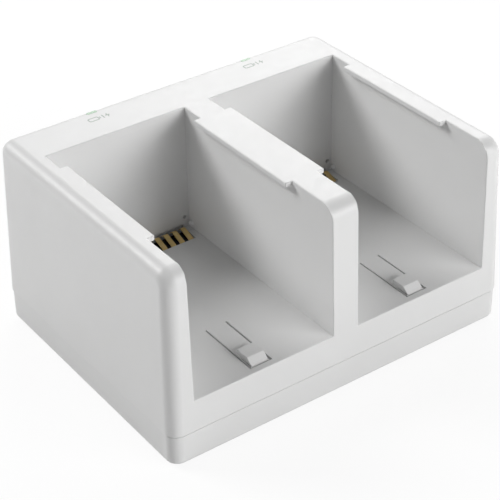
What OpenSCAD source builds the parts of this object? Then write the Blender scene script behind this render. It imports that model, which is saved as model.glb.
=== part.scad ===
// Charging station with two open bays for slide-in camera battery packs.
// The upper housing is one moulded shell with both bays, the lips over them and the rear strip.
// A shallow base cover closes it from below and carries the circuit board.
// X runs to the right along the open front, Y to the back and Z up.
// The origin is on the table, under the middle of the station.

/* [Outer form] */
// Width across the sides, measured at the top
top_w = 93.2; // [90:0.2:110]
// Depth from front to back, measured at the top
top_d = 70.8; // [68:0.2:80]
// Height of the housing and base without the feet
body_h = 49.7; // [45.7:0.1:60]
// Lean of the outer faces, which widen towards the bottom
draft_deg = 1.7; // [0.5:0.1:2.5]
// Radius of the upright outer corners
corner_r = 3; // [2.4:0.1:4]
// Radius of the outer top edges at the sides and back
edge_r = 3.2; // [2:0.1:3.6]
// Radius of the front top corners of the walls, seen from the side
nose_r = 4; // [2:0.5:5]
// Thickness of the moulded skins
skin_t = 1.6; // [1.2:0.1:1.8]
// Thickness of the skin along the top
roof_t = 2.4; // [2:0.1:3]

/* [Bays] */
// Width of one bay
bay_w = 37.85; // [36:0.05:38]
// Thickness of the wall between the bays
mid_wall = 7.2; // [6:0.1:9]
// Depth of the strip behind the bays, measured at the top
strip_d = 13.7; // [12:0.1:16]
// Height of the bay floor above the underside
bay_floor = 16.2; // [15.7:0.1:17.7]
// Thickness of the bay floor
floor_t = 1.8; // [1.6:0.1:2.2]
// Distance of a lip's rear end from the back wall of its bay
lip_back = 6.6; // [5:0.1:9]
// Length of a lip
lip_l = 36; // [30:0.5:42]
// How far a lip stands into the bay
lip_out = 1.8; // [1:0.1:2.4]
// Thickness of a lip
lip_t = 1.3; // [1:0.1:2]

/* [Latches] */
// Width of a latch tongue
tongue_w = 5.2; // [4.6:0.1:6]
// Length of a latch tongue from its root to its free end
tongue_l = 17.2; // [16:0.1:17.4]
// Thickness of a latch tongue
tongue_t = 1.6; // [1.2:0.1:1.6]
// Width of the slit round a latch tongue
slit_w = 0.45; // [0.35:0.05:0.6]
// Height of the catch block on a latch tongue
catch_h = 1.4; // [1:0.1:1.8]
// Width of the catch block
catch_w = 4.6; // [4:0.1:5]
// Length of the flat top of the catch block
catch_top = 3.9; // [3:0.1:5]
// Length of the ramp in front of the flat top
catch_ramp = 1.7; // [1:0.1:2.5]

/* [Contacts] */
// Contacts in each bay
contact_n = 5; // [5:1:5]
// Distance from one contact to the next
contact_pitch = 2.54; // [2.5:0.01:2.6]
// Distance of the last contact from the right wall of its bay
contact_edge = 3; // [2.8:0.1:3.2]
// Width of a contact leaf
leaf_w = 1.4; // [1.2:0.1:1.5]
// Thickness of a contact leaf
leaf_t = 0.25; // [0.2:0.05:0.3]
// Height of a leaf's crest above the bay floor
crest_h = 1.1; // [0.9:0.1:1.2]

/* [Base cover] */
// Height of the seam between base and housing above the underside
seam_h = 8.15; // [7.7:0.05:8.7]
// Width of the dark gap along the seam
seam_gap = 0.35; // [0.2:0.05:0.5]
// How far the base stands back behind the housing
base_inset = 0.2; // [0.1:0.05:0.5]
// Radius round the bottom edge of the base
base_edge_r = 1; // [0.8:0.1:1.4]
// Thickness of the base cover's floor
base_floor_t = 2; // [1.8:0.1:2.4]

/* [Feet and screws] */
// Height that the feet hold the base off the table
foot_h = 0.8; // [0.6:0.1:1.2]
// Diameter of a foot
foot_d = 9; // [8:0.5:10]
// Thread diameter of the housing screws
screw_d = 2.4; // [2.2:0.1:2.6]
// Length of the housing screws under their heads
screw_l = 11.5; // [10:0.5:11.5]

/* [Electrics] */
// Thickness of the circuit board
board_t = 1.6; // [1.4:0.1:1.6]
// Height of the board's upper face above the underside
board_top = 11.3; // [11.2:0.1:11.5]
// Width of the light window over a bay
light_w = 2.8; // [2:0.1:3.2]
// Depth of the light window
light_d = 1; // [0.8:0.1:1.2]
// Distance of the light window from the back edge at the top
light_back = 2.4; // [2.3:0.1:2.6]

/* [Hidden] */
$fn = 64;
eps = 0.01;
over = 2;
long = 200;
corner_reach = 0.005;
inner_corner_r = 1.2;

// Heights above the table, with the top of the screw posts above the underside
post_top = 8.9;
z0 = foot_h;
z_top = z0 + body_h;
z_seam = z0 + seam_h;
z_floor = z0 + bay_floor;
z_under = z_floor - floor_t;
z_board = z0 + board_top;
z_post = z0 + post_top;

// Outer faces: half width and half depth at any height, moved in by an inset
lean = tan(draft_deg);
function half_w(z, inset = 0) = top_w / 2 + (z_top - z) * lean - inset;
function half_d(z, inset = 0) = top_d / 2 + (z_top - z) * lean - inset;

// Bays: the left and right bay's middle, the back wall's face and the lips' ends
bay_x = (mid_wall + bay_w) / 2;
bay_back = top_d / 2 - strip_d;
lip_y1 = bay_back - lip_back;
lip_y0 = lip_y1 - lip_l;
side_x = [-bay_x, bay_x];

// Latch tongues
root_y = -17;
tongue_y0 = root_y - tongue_l;
hinge_gap = 0.05;
catch_front_gap = 0.1;

// Contacts: the row's middle from the bay's middle, and the leaf's points from the back wall
row_dx = bay_w / 2 - contact_edge - contact_pitch * (contact_n - 1) / 2;
window_margin = 0.45;
window_w = contact_pitch * (contact_n - 1) + leaf_w + 2 * window_margin;
window_l = 5.7;
notch_d = 0.8;
notch_h = 0.9;
slot_w = leaf_w + 0.6;
comb_drop = 0.5;
comb_gap = 0.2;
comb_foot = 0.6;
foot_gap = 0.1;
slot_deep = 0.6;
leaf_root = [bay_back - 5.25, z_floor - 0.35];
leaf_crest = [bay_back - 1.4, z_floor + crest_h - leaf_t / 2];
leaf_tip = [bay_back - 0.6, z_floor + 0.4];
leaf_tail = [leaf_root[0], z_floor - 1.6];

// Small key features in a bay's far right corner
nub_r = 0.8;
nub_y = bay_back - 1.15;
nub_z = z_floor + 1.25;
keyhole_r = 0.6;
keyhole_z = z_floor + 2.9;

// Screw bosses in the corners and board posts on the base
boss_x = 43.4;
boss_y = 32.2;
boss_d = 6.6;
boss_h = 8;
boss_hole_l = 6.2;
head_d = 4.4;
head_h = 1.7;
head_gap = 0.3;
head_z = z0 + 1.1;
board_holes = [[-33, -12], [33, -12], [0, 12]];
post_d = 5;
post_hole_l = 4;
board_screw_d = 1.9;
board_screw_l = 4.5;
board_head_d = 3.8;
board_head_h = 1.2;
thread_gap = 0.02;
shank_gap = 0.2;

// Base cover outline
base_w = 2 * half_w(z_seam) - 2 * base_inset;
base_d = 2 * half_d(z_seam) - 2 * base_inset;
base_wall = 1.8;
base_top = z_seam - seam_gap;
rim_h = 1.3;
rim_t = 1;
rim_gap = 0.15;

// Circuit board outline and the parts on it
board_w = 82;
board_y0 = -30;
board_y1 = 34.2;
board_notch_r = boss_d / 2 + 0.6;

// Feet
foot_x = 35;
foot_y = 27;
foot_recess = 0.8;
foot_seat_gap = 0.1;

// Light windows
light_y = top_d / 2 - light_back;
light_gap = 0.06;
bar_d = 1.6;
bar_y = light_y - 0.4;
shoulder_w = 4.4;
shoulder_h = 1.6;
lamp_h = 1.5;

// Power inlet at the back
inlet_w = 7.5;
inlet_h = 2.6;
inlet_l = 6;
inlet_y1 = 34.7;
inlet_t = 0.3;
inlet_open_w = 9.4;
inlet_open_h = 4.2;
inlet_open_l = 20;

// A trapezoid standing on edge: half its width is h_lo at the bottom and h_hi at the top
module leaning(h_lo, h_hi, z_lo, z_hi) {
    polygon([[-h_lo, z_lo], [h_lo, z_lo], [h_hi, z_hi], [-h_hi, z_hi]]);
}

// Extrudes an outline drawn in X and Z along Y, centred on the origin
module along_y(l) {
    rotate([90, 0, 0])
        linear_extrude(l, center = true)
            children();
}

// Extrudes an outline drawn in Y and Z along X, centred on the origin
module along_x(l) {
    rotate([90, 0, 90])
        linear_extrude(l, center = true)
            children();
}

// The waste outside one upright corner of a leaning block.
// The round face reaches a hair past the flat faces, so that they cross along clear lines.
module corner_waste(sx, sy, z_lo, z_hi, inset, r) {
    translate([sx * half_w(z_lo, inset + r), sy * half_d(z_lo, inset + r), z_lo])
        rotate(a = atan(lean * sqrt(2)), v = [sy, -sx, 0])
            difference() {
                translate([sx > 0 ? 0 : -2 * r, sy > 0 ? 0 : -2 * r, -over])
                    cube([2 * r, 2 * r, z_hi - z_lo + 2 * over]);
                translate([0, 0, -2 * over])
                    cylinder(h = z_hi - z_lo + 4 * over, r = r * cos(draft_deg) + corner_reach);
            }
}

// A block with leaning sides and round upright corners, inset from the outer faces
module leaning_block(z_lo, z_hi, inset = 0) {
    r = max(corner_r - inset, inner_corner_r);
    difference() {
        intersection() {
            along_y(long)
                leaning(half_w(z_lo, inset), half_w(z_hi, inset), z_lo, z_hi);
            along_x(long)
                leaning(half_d(z_lo, inset), half_d(z_hi, inset), z_lo, z_hi);
        }
        for (sx = [-1, 1], sy = [-1, 1])
            corner_waste(sx, sy, z_lo, z_hi, inset, r);
    }
}

// The waste outside a round edge of radius r between the top and a leaning side.
// The side's plane is half_top from the middle at the top.
module edge_waste(half_top, r) {
    xc = half_top + r * lean - r / cos(draft_deg);
    zc = z_top - r;
    xt = xc + r * cos(draft_deg);
    zt = zc + r * sin(draft_deg);
    difference() {
        polygon([[xc, z_top], [xc, z_top + over], [xt + over, z_top + over], [xt + over, zt], [xt, zt]]);
        translate([xc, zc])
            circle(r);
    }
}

// The housing's outer form, closed and without bays
module outer_form() {
    difference() {
        leaning_block(z_seam, z_top);
        for (m = [0, 1])
            mirror([m, 0, 0])
                along_y(2 * top_d)
                    edge_waste(top_w / 2, edge_r);
        along_x(2 * top_w)
            edge_waste(top_d / 2, edge_r);
        mirror([0, 1, 0])
            along_x(2 * top_w)
                edge_waste(top_d / 2, nose_r);
    }
}

// The space of one bay, open to the front and top, less the lips that stand into it
module bay_space(cx) {
    difference() {
        translate([cx - bay_w / 2, -top_d, z_floor])
            cube([bay_w, top_d + bay_back, body_h]);
        for (s = [-1, 1])
            translate([cx + s * (bay_w / 2 + over / 2 - lip_out / 2) - (lip_out + over) / 2, lip_y0, z_top - lip_t])
                cube([lip_out + over, lip_l, lip_t + body_h]);
    }
}

// The bay's own skin, which keeps the hollow of the housing away from it
module bay_skin(cx) {
    translate([cx - bay_w / 2 - skin_t, -top_d, z_under])
        cube([bay_w + 2 * skin_t, top_d + bay_back + skin_t, body_h]);
}

// The opening round one latch tongue, with a round seat for its root
module tongue_window(cx) {
    half = tongue_w / 2 + slit_w;
    translate([cx - half, tongue_y0 - slit_w, z_under - over])
        cube([2 * half, tongue_l + slit_w, floor_t + 2 * over]);
    translate([cx - half, root_y, z_floor - tongue_t / 2])
        rotate([0, 90, 0])
            cylinder(h = 2 * half, r = tongue_t / 2 + hinge_gap);
}

// The opening for one row of contacts: a window in the floor and a notch under the back wall
module contact_window(cx) {
    translate([cx + row_dx - window_w / 2, bay_back - window_l, z_under - over])
        cube([window_w, window_l, floor_t + 2 * over]);
    translate([cx + row_dx - window_w / 2, bay_back - over, z_under - over])
        cube([window_w, notch_d + over, floor_t + over + notch_h]);
}

// The screw bosses inside the housing
module bosses() {
    for (sx = [-1, 1], sy = [-1, 1])
        translate([sx * boss_x, sy * boss_y, z_post])
            cylinder(h = boss_h, d = boss_d);
}

// A slot with round ends, lying along X
module stadium(w, d) {
    square([w - d, d], center = true);
    for (s = [-1, 1])
        translate([s * (w - d) / 2, 0])
            circle(d / 2);
}

module upper_housing() {
    color("white")
        difference() {
            union() {
                difference() {
                    outer_form();
                    difference() {
                        leaning_block(z_seam - over, z_top - roof_t, skin_t);
                        for (cx = side_x)
                            bay_skin(cx);
                        bosses();
                    }
                    for (cx = side_x)
                        bay_space(cx);
                }
                for (cx = side_x)
                    translate([cx + bay_w / 2, nub_y, nub_z])
                        sphere(nub_r);
            }
            for (cx = side_x) {
                tongue_window(cx);
                contact_window(cx);
                translate([cx + bay_w / 2 - 2 * keyhole_r, bay_back, keyhole_z])
                    rotate([90, 0, 0])
                        cylinder(h = 2 * over, r = keyhole_r, center = true);
                translate([cx, light_y, z_top - roof_t - over])
                    linear_extrude(roof_t + 2 * over)
                        stadium(light_w + 2 * light_gap, light_d + 2 * light_gap);
            }
            for (sx = [-1, 1], sy = [-1, 1])
                translate([sx * boss_x, sy * boss_y, z_post - over])
                    cylinder(h = boss_hole_l + over, r = screw_d / 2 + thread_gap);
            translate([0, top_d / 2, z_board + inlet_h / 2])
                along_y(inlet_open_l)
                    stadium(inlet_open_w, inlet_open_h);
        }
}

// Outline with round corners, centred on the origin
module round_rect(w, d, r) {
    square([w - 2 * r, d], center = true);
    square([w, d - 2 * r], center = true);
    for (sx = [-1, 1], sy = [-1, 1])
        translate([sx * (w / 2 - r), sy * (d / 2 - r)])
            circle(r);
}

// Upright outline of the base from its middle outwards, rounded at the bottom
module base_profile(half) {
    translate([-half, z0 + base_edge_r])
        square([2 * half, base_top - z0 - base_edge_r]);
    translate([-half + base_edge_r, z0])
        square([2 * (half - base_edge_r), base_edge_r + eps]);
    for (s = [-1, 1])
        translate([s * (half - base_edge_r), z0 + base_edge_r])
            circle(base_edge_r);
}

// The base's outer form, with the bottom edge rounded all the way round
module base_form() {
    along_y(base_d - 2 * corner_r)
        base_profile(base_w / 2);
    along_x(base_w - 2 * corner_r)
        base_profile(base_d / 2);
    for (sx = [-1, 1], sy = [-1, 1])
        translate([sx * (base_w / 2 - corner_r), sy * (base_d / 2 - corner_r), 0])
            rotate_extrude()
                intersection() {
                    base_profile(corner_r);
                    square([2 * corner_r, z_top]);
                }
}

// The low rim inside the seam, in four straight lengths that stop before the bosses
module rim() {
    half_in_w = half_w(z_seam + rim_h, skin_t + rim_gap);
    half_in_d = half_d(z_seam + rim_h, skin_t + rim_gap);
    rim_lx = 68;
    rim_ly = 46;
    for (s = [-1, 1]) {
        translate([s * (half_in_w - rim_t / 2) - rim_t / 2, -rim_ly / 2, z0 + base_floor_t])
            cube([rim_t, rim_ly, z_seam + rim_h - z0 - base_floor_t]);
        translate([-rim_lx / 2, s * (half_in_d - rim_t / 2) - rim_t / 2, z0 + base_floor_t])
            cube([rim_lx, rim_t, z_seam + rim_h - z0 - base_floor_t]);
    }
}

module base_cover() {
    color("gainsboro")
        difference() {
            union() {
                difference() {
                    base_form();
                    translate([0, 0, z0 + base_floor_t])
                        linear_extrude(body_h)
                            round_rect(base_w - 2 * base_wall, base_d - 2 * base_wall, corner_r - base_wall);
                }
                rim();
                for (sx = [-1, 1], sy = [-1, 1])
                    translate([sx * boss_x, sy * boss_y, z0 + base_floor_t - eps]) {
                        cylinder(h = base_top - z0 - base_floor_t + eps, d = boss_d);
                        cylinder(h = z_post - z0 - base_floor_t + eps, d = post_d);
                    }
                for (p = board_holes)
                    translate([p[0], p[1], z0 + base_floor_t - eps])
                        cylinder(h = z_board - board_t - z0 - base_floor_t + eps, d = post_d);
            }
            for (sx = [-1, 1], sy = [-1, 1]) {
                translate([sx * boss_x, sy * boss_y, z0 - over])
                    cylinder(h = body_h, d = screw_d + 2 * shank_gap);
                translate([sx * boss_x, sy * boss_y, z0 - over])
                    cylinder(h = over + head_z - z0 + head_h, d = head_d + 2 * head_gap);
                translate([sx * foot_x, sy * foot_y, z0 - over])
                    cylinder(h = over + foot_recess, d = foot_d + 2 * foot_seat_gap);
            }
            for (p = board_holes)
                translate([p[0], p[1], z_board - board_t - post_hole_l])
                    cylinder(h = post_hole_l + over, r = board_screw_d / 2 + thread_gap);
        }
}

module circuit_board() {
    color("darkgreen")
        translate([0, 0, z_board - board_t])
            linear_extrude(board_t)
                difference() {
                    translate([-board_w / 2, board_y0])
                        square([board_w, board_y1 - board_y0]);
                    for (sx = [-1, 1], sy = [-1, 1])
                        translate([sx * boss_x, sy * boss_y])
                            circle(board_notch_r);
                    for (p = board_holes)
                        translate(p)
                            circle(d = board_screw_d + 2 * shank_gap);
                }
}

// The comb that holds one bay's contacts: a foot on the board and ribs between the leaves
module contact_holder(cx) {
    comb_w = window_w - 2 * comb_gap;
    comb_y0 = bay_back - window_l + comb_gap;
    comb_y1 = bay_back + notch_d - comb_gap;
    foot_y1 = comb_y1 + comb_foot;
    color("black")
        difference() {
            union() {
                translate([cx + row_dx - comb_w / 2 - comb_foot, comb_y0 - comb_foot, z_board])
                    cube([comb_w + 2 * comb_foot, foot_y1 - comb_y0 + comb_foot, z_under - foot_gap - z_board]);
                translate([cx + row_dx - comb_w / 2, comb_y0, z_board])
                    cube([comb_w, comb_y1 - comb_y0, z_floor - comb_drop - z_board]);
            }
            for (i = [1 : contact_n])
                translate([leaf_x(cx, i) - slot_w / 2, comb_y0 - over / 4, leaf_tail[1] - slot_deep])
                    cube([slot_w, comb_y1, body_h]);
        }
}

// Middle of the contact with number i in the bay at cx
function leaf_x(cx, i) = cx + row_dx + (i - 1 - (contact_n - 1) / 2) * contact_pitch;

// One straight length of a leaf between two points, with round ends
module leaf_length(a, b) {
    d = b - a;
    translate(a)
        rotate(atan2(d[1], d[0]))
            translate([0, -leaf_t / 2])
                square([norm(d), leaf_t]);
    for (p = [a, b])
        translate(p)
            circle(leaf_t / 2);
}

// One contact: a strip bent at its root and again at its crest
module contact(cx, i) {
    color("gold")
        translate([leaf_x(cx, i), 0, 0])
            along_x(leaf_w) {
                leaf_length(leaf_tail, leaf_root);
                leaf_length(leaf_root, leaf_crest);
                leaf_length(leaf_crest, leaf_tip);
            }
}

// A latch tongue with a round root and its catch block
module latch_tongue(cx) {
    z1 = z_floor - tongue_t;
    y1 = tongue_y0 + catch_front_gap;
    color("white") {
        translate([cx - tongue_w / 2, tongue_y0, z1])
            cube([tongue_w, tongue_l, tongue_t]);
        translate([cx, root_y, z1 + tongue_t / 2])
            rotate([0, 90, 0])
                cylinder(h = tongue_w, d = tongue_t, center = true);
        translate([cx, 0, 0])
            along_x(catch_w)
                polygon([
                    [y1, z_floor - eps],
                    [y1 + catch_ramp, z_floor + catch_h],
                    [y1 + catch_ramp + catch_top, z_floor + catch_h],
                    [y1 + catch_ramp + catch_top, z_floor - eps]
                ]);
    }
}

// A clear bar that carries light from the board to the window over a bay
module light_pipe(cx) {
    z_foot = z_board + lamp_h;
    z_roof = z_top - roof_t;
    color("palegreen")
        intersection() {
            union() {
                translate([cx - light_w / 2, bar_y - bar_d / 2, z_foot])
                    cube([light_w, bar_d, z_roof - z_foot]);
                translate([cx - shoulder_w / 2, bar_y - bar_d / 2, z_roof - shoulder_h])
                    cube([shoulder_w, bar_d, shoulder_h]);
                translate([cx, light_y, z_roof - eps])
                    linear_extrude(roof_t + over)
                        stadium(light_w, light_d);
            }
            outer_form();
        }
}

module status_lamp(cx) {
    lamp_w = 3.4;
    lamp_d = 2.6;
    color("ivory")
        translate([cx - lamp_w / 2, bar_y - lamp_d / 2, z_board])
            cube([lamp_w, lamp_d, lamp_h]);
}

// A flat chip on the board, with its row of leads on both sides
module charge_controller(cx) {
    chip_w = 4;
    chip_l = 5;
    chip_h = 1.4;
    chip_y = 2;
    lead_n = 4;
    lead_pitch = 1.27;
    lead_w = 0.4;
    lead_t = 0.3;
    lead_out = 1;
    color("dimgray")
        translate([cx, chip_y, z_board]) {
            translate([-chip_w / 2, -chip_l / 2, 0])
                cube([chip_w, chip_l, chip_h]);
            for (i = [0 : lead_n - 1])
                translate([-chip_w / 2 - lead_out, (i - (lead_n - 1) / 2) * lead_pitch - lead_w / 2, 0])
                    cube([chip_w + 2 * lead_out, lead_w, lead_t]);
        }
}

// A round choke with a flat square foot
module power_coil(cx) {
    coil_w = 6;
    coil_h = 2.7;
    core_d = 4.6;
    flange_t = 0.6;
    coil_place = [9, 4];
    color("dimgray")
        translate([cx + coil_place[0], coil_place[1], z_board]) {
            translate([-coil_w / 2, -coil_w / 2, 0])
                cube([coil_w, coil_w, flange_t]);
            cylinder(h = coil_h, d = core_d);
            translate([0, 0, coil_h - flange_t])
                cylinder(h = flange_t, d = coil_w);
        }
}

// A standing can capacitor on its square foot
module capacitor(cx) {
    can_d = 6.3;
    can_h = 7.7;
    can_foot = 1;
    groove_z = 2.2;
    groove_h = 0.5;
    groove_deep = 0.3;
    can_x = sign(cx) * 12.4;
    can_y = 28.4;
    color("silver")
        translate([can_x, can_y, z_board]) {
            translate([-can_d / 2, -can_d / 2, 0])
                cube([can_d, can_d, can_foot]);
            cylinder(h = groove_z, d = can_d);
            cylinder(h = can_h, d = can_d - 2 * groove_deep);
            translate([0, 0, groove_z + groove_h])
                cylinder(h = can_h - groove_z - groove_h, d = can_d);
        }
}

// Outline of the inlet's mouth, drawn in X and Z, with both lower corners cut
module inlet_outline(grow) {
    w = inlet_w / 2 + grow;
    h = inlet_h / 2 + grow;
    cut = 1.1;
    polygon([[-w, h], [-w, -h + cut], [-w + cut, -h], [w - cut, -h], [w, -h + cut], [w, h]]);
}

module inlet_shell() {
    color("silver")
        translate([0, inlet_y1 - inlet_l / 2, z_board + inlet_h / 2])
            difference() {
                along_y(inlet_l)
                    inlet_outline(0);
                translate([0, inlet_t + eps, 0])
                    along_y(inlet_l)
                        inlet_outline(-inlet_t);
            }
}

module inlet_tongue() {
    blade_w = 3.8;
    blade_t = 0.6;
    blade_back = 1.2;
    block_w = 4.4;
    block_t = 1.8;
    color("black")
        translate([0, inlet_y1 - inlet_l + inlet_t + eps, z_board + inlet_h / 2]) {
            translate([-blade_w / 2, 0, 0])
                cube([blade_w, inlet_l - blade_back, blade_t]);
            translate([-block_w / 2, 0, -block_t / 2])
                cube([block_w, block_t / 2, block_t]);
        }
}

// A screw with a low round head below and its tip above
module screw(x, y, z, d, l, hd, hh) {
    drive_d = 0.55 * hd;
    drive_w = 0.5;
    drive_deep = 0.6 * hh;
    color("silver")
        translate([x, y, z])
            difference() {
                union() {
                    cylinder(h = hh, d = hd);
                    cylinder(h = hh + l, d = d);
                }
                for (a = [0, 90])
                    rotate(a)
                        translate([-drive_d / 2, -drive_w / 2, -eps])
                            cube([drive_d, drive_w, drive_deep]);
            }
}

// Housing screws go up from the underside, one in each corner
module housing_screw(i) {
    sx = i % 2 == 0 ? 1 : -1;
    sy = i > 2 ? 1 : -1;
    screw(sx * boss_x, sy * boss_y, head_z, screw_d, screw_l, head_d, head_h);
}

// Board screws go down through the board into the posts
module board_screw(i) {
    p = board_holes[i - 1];
    translate([0, 0, z_board + board_head_h])
        mirror([0, 0, 1])
            screw(p[0], p[1], 0, board_screw_d, board_screw_l, board_head_d, board_head_h);
}

module foot(i) {
    sx = i % 2 == 0 ? 1 : -1;
    sy = i > 2 ? 1 : -1;
    round_r = 0.5;
    color("dimgray")
        translate([sx * foot_x, sy * foot_y, 0]) {
            translate([0, 0, round_r])
                cylinder(h = foot_h + foot_recess - round_r, d = foot_d);
            cylinder(h = foot_h, d = foot_d - 2 * round_r);
            translate([0, 0, round_r])
                rotate_extrude()
                    translate([foot_d / 2 - round_r, 0])
                        circle(round_r);
        }
}

upper_housing();
base_cover();
circuit_board();
for (k = [0, 1]) {
    side = k == 0 ? "left" : "right";
    cx = side_x[k];
    contact_holder(cx);
    for (i = [1 : contact_n])
        contact(cx, i);
    latch_tongue(cx);
    light_pipe(cx);
    status_lamp(cx);
    charge_controller(cx);
    power_coil(cx);
    capacitor(cx);
}
inlet_shell();
inlet_tongue();
for (i = [1 : 4]) housing_screw(i);
for (i = [1 : 3]) board_screw(i);
for (i = [1 : 4]) foot(i);
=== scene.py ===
"""Charging station for two slide-in camera battery packs.

Every size is in millimetres in the tables below and in metres in the meshes.
X runs to the right along the open front, Y to the back and Z up.
"""
import math

import bmesh
import bpy
from bpy.props import FloatProperty, FloatVectorProperty, PointerProperty
from mathutils import Matrix, Vector


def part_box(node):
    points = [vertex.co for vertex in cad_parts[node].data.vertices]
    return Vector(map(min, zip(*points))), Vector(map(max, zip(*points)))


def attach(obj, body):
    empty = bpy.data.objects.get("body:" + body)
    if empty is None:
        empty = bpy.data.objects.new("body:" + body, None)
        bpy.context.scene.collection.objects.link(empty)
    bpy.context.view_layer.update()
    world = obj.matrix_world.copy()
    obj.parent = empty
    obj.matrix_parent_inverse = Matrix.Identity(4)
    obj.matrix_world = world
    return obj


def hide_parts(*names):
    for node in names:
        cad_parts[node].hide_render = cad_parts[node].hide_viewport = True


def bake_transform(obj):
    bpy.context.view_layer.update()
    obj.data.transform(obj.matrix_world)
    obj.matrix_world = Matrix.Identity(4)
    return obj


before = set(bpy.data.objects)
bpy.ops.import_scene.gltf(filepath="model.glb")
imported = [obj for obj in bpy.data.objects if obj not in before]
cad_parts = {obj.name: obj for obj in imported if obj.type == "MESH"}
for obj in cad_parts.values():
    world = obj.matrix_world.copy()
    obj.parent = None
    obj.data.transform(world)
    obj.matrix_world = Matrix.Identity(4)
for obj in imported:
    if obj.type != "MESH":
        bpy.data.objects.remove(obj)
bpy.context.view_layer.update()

bl_info = {
    "name": "Battery Charging Station",
    "version": (1, 0, 0),
    "blender": (4, 5, 0),
    "location": "3D View > Sidebar > Charger",
    "description": "Models a charging station with two open bays for slide-in battery packs",
    "category": "Object",
}

MM = 0.001
FAR = 60.0   # reaches past the object from anywhere in it
OVER = 1.0   # how far outside the piece a cutter starts
SNAP = 0.01  # an edge this close to a plane lies on it
NEAR = 0.1   # a wider margin, used where no other edge is close


def corners(x, y):
    """The four places at a distance from the middle, the front ones first"""
    return [(sx * x, sy * y) for sy in (-1, 1) for sx in (-1, 1)]


# Heights and outer planes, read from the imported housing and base
HOUSING_LOW, HOUSING_HIGH = (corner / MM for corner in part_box("upper_housing"))
BASE_LOW, BASE_HIGH = (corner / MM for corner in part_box("base_cover"))
Z_SEAM = HOUSING_LOW.z
Z_TOP = HOUSING_HIGH.z
Z_BASE = BASE_LOW.z
LEAN = math.tan(math.radians(1.7))
TOP_HALF_W = HOUSING_HIGH.x - (Z_TOP - Z_SEAM) * LEAN
TOP_HALF_D = HOUSING_HIGH.y - (Z_TOP - Z_SEAM) * LEAN

# Housing walls
SKIN_T = 1.6
ROOF_T = 2.4
HOLLOW_CORNER = 1.4

# Bays
BAY_W = 37.85
MID_WALL = 7.2
BAY_BACK = TOP_HALF_D - 13.7
FLOOR_Z = Z_BASE + 16.2
FLOOR_T = 1.8
SIDES = {"left": -(MID_WALL + BAY_W) / 2, "right": (MID_WALL + BAY_W) / 2}
LIP_Y = (BAY_BACK - 42.6, BAY_BACK - 6.6)
LIP_OUT = 1.8
LIP_ROOT = 2.0
LIP_T = 1.3

# Nub and keyhole in each bay's far right corner, placed from its walls and floor
NUB_R = 0.8
NUB_FRONT = 1.15
NUB_UP = 1.25
KEYHOLE = (0.6, 4.0)
KEYHOLE_IN = 1.2
KEYHOLE_UP = 2.9

# Latch tongues
ROOT_Y = -17.0
TONGUE_W = 5.2
TONGUE_L = 17.2
TONGUE_T = 1.6
SLIT_W = 0.45
CATCH_W = 4.6
CATCH_H = 1.4
CATCH_TOP = 3.9
CATCH_RAMP = 1.7
CATCH_IN = 0.1
CATCH_SINK = 0.05
RAMP_SINK = 0.06
BLEND_STEP = 0.6
BLEND_CUTS = 8

# Contacts
CONTACT_N = 5
CONTACT_PITCH = 2.54
ROW_DX = BAY_W / 2 - 3.0 - CONTACT_PITCH * (CONTACT_N - 1) / 2
LEAF_W = 1.4
LEAF_T = 0.25
LEAF_EDGE = 0.05
WINDOW_W = CONTACT_PITCH * (CONTACT_N - 1) + LEAF_W + 0.9
WINDOW_L = 5.7
NOTCH_D = 0.8
NOTCH_H = 0.9

# Corners of a leaf's middle line: how far before the back wall and above the floor
LEAF_CORNERS = ((5.25, -1.6), (5.25, -0.35), (1.4, 1.1 - LEAF_T / 2), (0.6, 0.4))
LEAF_BEND = 0.45
BEND_STEPS = 6

# Base cover
SEAM_GAP = 0.35
BASE_FLOOR_T = 2.0
BASE_WALL = 1.8
BASE_CORNER = 3.0
BASE_SOFT = 0.18
RIM_T = 1.0
RIM_UP = 1.3
RIM_GAP = 0.15
RIM_HALF_W = 34.0
RIM_HALF_D = 23.0

# Board, screws, bosses and feet
BOARD_TOP = Z_BASE + 11.3
BOARD_T = 1.6
BOARD_POSTS = ((-33, -12), (33, -12), (0, 12))
BOSSES = corners(43.4, 32.2)
BOSS_D = 6.6
BOSS_ROOM = 8.0
POST_Z = Z_BASE + 8.9
POST_D = 5.0
POST_SINK = 0.5
FEET = corners(35.0, 27.0)
FOOT_D = 9.0
FOOT_ROUND = 0.5
SEAT_DEPTH = 0.8
PILOT_Z = BOARD_TOP - 5.6

# Radius and length of the round holes
SCREW_HOLE = (1.22, 7.2)
SHANK_HOLE = (1.4, 20.0)
HEAD_HOLE = (2.5, 3.8)
PILOT_HOLE = (0.97, 8.0)
FOOT_SEAT = (FOOT_D / 2 + 0.1, OVER + SEAT_DEPTH)

# Mouth of the power inlet
MOUTH_W = 9.4
MOUTH_Z = (BOARD_TOP - 0.8, BOARD_TOP + 3.4)
MOUTH_REACH = 10.0
MOUTH_ROUND = 2.09

# Light windows and the bars under them
LIGHT_Y = TOP_HALF_D - 2.4
LIGHT_W = 2.8
LIGHT_D = 1.0
LIGHT_GAP = 0.12
LIGHT_SOFT = 0.12
BAR_Y = LIGHT_Y - 0.4
BAR_HALF_D = 0.8
BAR_FOOT = BOARD_TOP + 1.5
SHOULDER_HALF_W = 2.2
SHOULDER_H = 1.6

# Printed marks: the battery sign is placed from the bay's middle, the rest from the sign
MARK_DX = -1.4
MARK_Y = 29.7
MARK_SINK = 0.05
MARK_RISE = 0.012
BATTERY_W = 2.9
BATTERY_D = 1.7
BATTERY_ROUND = 0.5
KNOB_X = (BATTERY_W / 2 + 0.12, BATTERY_W / 2 + 0.4)
KNOB_HALF_D = 0.4
DASH_DX = 2.4
DASH_HALF_D = 0.8
BOLT_DX = 3.8
BOLT_OUTLINE = ((0.13, 1.05), (-0.7, -0.15), (-0.1, -0.15),
                (-0.2, -1.05), (0.66, 0.2), (0.08, 0.2))

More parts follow.
